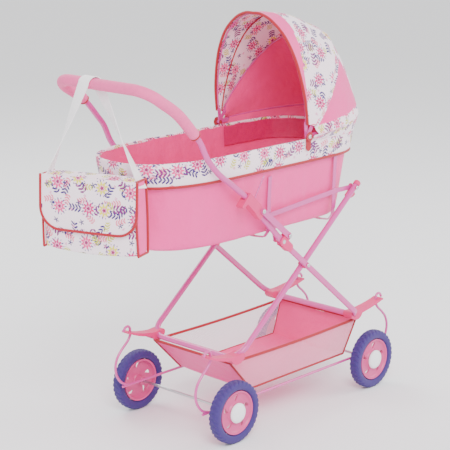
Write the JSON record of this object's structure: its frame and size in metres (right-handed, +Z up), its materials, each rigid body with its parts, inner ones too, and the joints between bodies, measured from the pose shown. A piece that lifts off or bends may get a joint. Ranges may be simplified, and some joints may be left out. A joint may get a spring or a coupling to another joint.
{
  "type": "doll stroller",
  "caption": "Doll stroller with fabric cot, folding hood, hinged push handle, sprung wire chassis, foam wheels, basket and a shoulder bag.",
  "frame": {"origin": "middle of the bounding box on the floor", "axes": "+X towards the head end, +Y to the left, +Z up"},
  "size_m": [0.8278, 0.3136, 0.838],
  "materials": {
    "tyre_foam": "matt foam",
    "rim_plastic": "satin",
    "white_plastic": "gloss",
    "steel": "bright",
    "pink_fabric": "satin polyester",
    "print_fabric": "printed cotton",
    "webbing": "woven webbing",
    "grip_foam": "foam",
    "hot_pink_plastic": "satin moulded",
    "pink_paint": "gloss enamel"
  },
  "bodies": {
    "root": {"rear_axle": "steel", "front_axle": "steel", "right_chassis_wire": "pink_paint", "left_chassis_wire": "pink_paint", "rear_frame_tube": "pink_paint", "front_frame_tube": "pink_paint", "right_crossing_rivet": "hot_pink_plastic", "left_crossing_rivet": "hot_pink_plastic", "rear_right_corner_bracket": "hot_pink_plastic", "rear_left_corner_bracket": "hot_pink_plastic", "front_right_corner_bracket": "hot_pink_plastic", "front_left_corner_bracket": "hot_pink_plastic", "right_carrier_bar": "pink_paint", "right_carrier_strut": "pink_paint", "right_head_plate": "hot_pink_plastic", "right_tube_cap": "hot_pink_plastic", "left_carrier_bar": "pink_paint", "left_carrier_strut": "pink_paint", "left_head_plate": "hot_pink_plastic", "left_tube_cap": "hot_pink_plastic", "rear_cot_hoop": "pink_paint", "front_cot_hoop": "pink_paint", "right_hinge_knuckle": "hot_pink_plastic", "left_hinge_knuckle": "hot_pink_plastic", "cot_shell": "pink_fabric", "cot_band": "print_fabric", "cot_rim_wire": "pink_paint", "hood_rear_bow": "pink_paint", "hood_rear_panel": "print_fabric", "right_hood_pivot": "hot_pink_plastic", "left_hood_pivot": "hot_pink_plastic", "basket": "pink_fabric"},
    "rear_right_wheel": {"rear_right_tyre": "tyre_foam", "rear_right_rim": "rim_plastic", "rear_right_hub_cap": "white_plastic"},
    "rear_left_wheel": {"rear_left_tyre": "tyre_foam", "rear_left_rim": "rim_plastic", "rear_left_hub_cap": "white_plastic"},
    "front_right_wheel": {"front_right_tyre": "tyre_foam", "front_right_rim": "rim_plastic", "front_right_hub_cap": "white_plastic"},
    "front_left_wheel": {"front_left_tyre": "tyre_foam", "front_left_rim": "rim_plastic", "front_left_hub_cap": "white_plastic"},
    "handle": {"right_handle_arm": "pink_paint", "left_handle_arm": "pink_paint", "handle_bar": "pink_paint", "handle_grip": "grip_foam"},
    "lock_blocks": {"right_lock_block": "hot_pink_plastic", "left_lock_block": "hot_pink_plastic"},
    "lock_links": {"right_lock_link": "pink_paint", "left_lock_link": "pink_paint"},
    "hood_middle": {"hood_middle_bow": "pink_paint", "hood_middle_panel": "print_fabric"},
    "hood_front": {"hood_front_bow": "pink_paint", "hood_front_panel": "print_fabric"},
    "bag": {"bag_body": "print_fabric", "bag_strap": "webbing"},
    "bag_flap": {"bag_flap": "print_fabric"}
  },
  "joints": [
    {"name": "rear_right_wheel_spin", "type": "hinge", "parent": "root", "child": "rear_right_wheel", "pos_m": [-0.1205, -0.14, 0.065], "axis": [0, 1, 0], "continuous": true},
    {"name": "rear_left_wheel_spin", "type": "hinge", "parent": "root", "child": "rear_left_wheel", "pos_m": [-0.1205, 0.14, 0.065], "axis": [0, 1, 0], "continuous": true},
    {"name": "front_right_wheel_spin", "type": "hinge", "parent": "root", "child": "front_right_wheel", "pos_m": [0.3255, -0.14, 0.065], "axis": [0, 1, 0], "continuous": true},
    {"name": "front_left_wheel_spin", "type": "hinge", "parent": "root", "child": "front_left_wheel", "pos_m": [0.3255, 0.14, 0.065], "axis": [0, 1, 0], "continuous": true},
    {"name": "handle_fold", "type": "hinge", "parent": "root", "child": "handle", "pos_m": [0.0255, 0, 0.39], "axis": [0, -1, 0], "range_deg": [0, 50]},
    {"name": "lock_slide", "type": "slide", "parent": "handle", "child": "lock_blocks", "axis": [0.7071, 0, -0.7071], "range_m": [0, 0.01149]},
    {"name": "lock_link_swing", "type": "hinge", "parent": "lock_blocks", "child": "lock_links", "pos_m": [-0.04069, 0, 0.46524], "axis": [0, 1, 0], "range_deg": [0, 4.6]},
    {"name": "hood_middle_fold", "type": "hinge", "parent": "root", "child": "hood_middle", "pos_m": [0.1145, 0, 0.592], "axis": [0, 1, 0], "range_deg": [0, 30]},
    {"name": "hood_front_fold", "type": "hinge", "parent": "hood_middle", "child": "hood_front", "pos_m": [0.1145, 0, 0.592], "axis": [0, 1, 0], "range_deg": [0, 30]},
    {"name": "bag_swing", "type": "hinge", "parent": "handle", "child": "bag", "pos_m": [-0.3355, 0, 0.735], "axis": [0, 1, 0], "range_deg": [0, 40]},
    {"name": "bag_flap_lift", "type": "hinge", "parent": "bag", "child": "bag_flap", "pos_m": [-0.379, -0.00775, 0.565], "axis": [-0.3256, 0.9455, 0], "range_deg": [0, 95]}
  ],
  "couplings": [
    {"joint": "lock_slide", "follows": "handle_fold", "m_per_rad": 0.013149},
    {"joint": "lock_link_swing", "follows": "handle_fold", "ratio": 0.091424},
    {"joint": "hood_front_fold", "follows": "hood_middle_fold", "ratio": 1}
  ]
}
